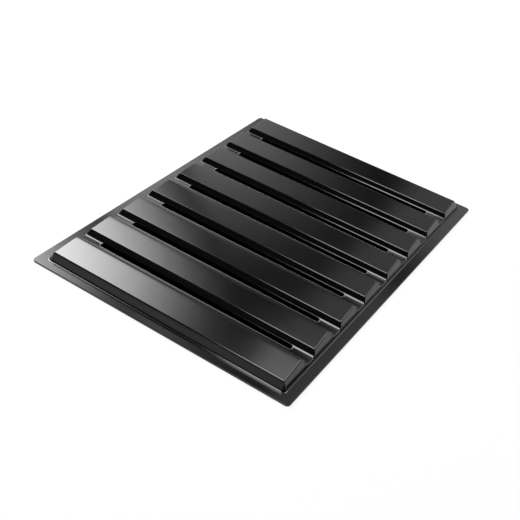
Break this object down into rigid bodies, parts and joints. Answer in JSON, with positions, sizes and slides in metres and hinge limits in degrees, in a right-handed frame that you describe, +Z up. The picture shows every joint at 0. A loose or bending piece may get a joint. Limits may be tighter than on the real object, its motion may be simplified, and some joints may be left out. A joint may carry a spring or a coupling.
{
  "type": "louvred vent panel",
  "caption": "Formed plastic vent panel: a flat border round a raised field of sloping slats, with a long round-ended air slot in the groove behind each slat.",
  "frame": {"origin": "middle of the border's flat underside", "axes": "+X along the slats, +Y from the front edge of the panel to the back edge, +Z up, away from the body under it"},
  "size_m": [0.3, 0.4136, 0.0139],
  "materials": {
    "black_plastic": "semi-gloss black, as formed"
  },
  "bodies": {
    "root": {"louvre_panel": "black_plastic"}
  },
  "joints": []
}
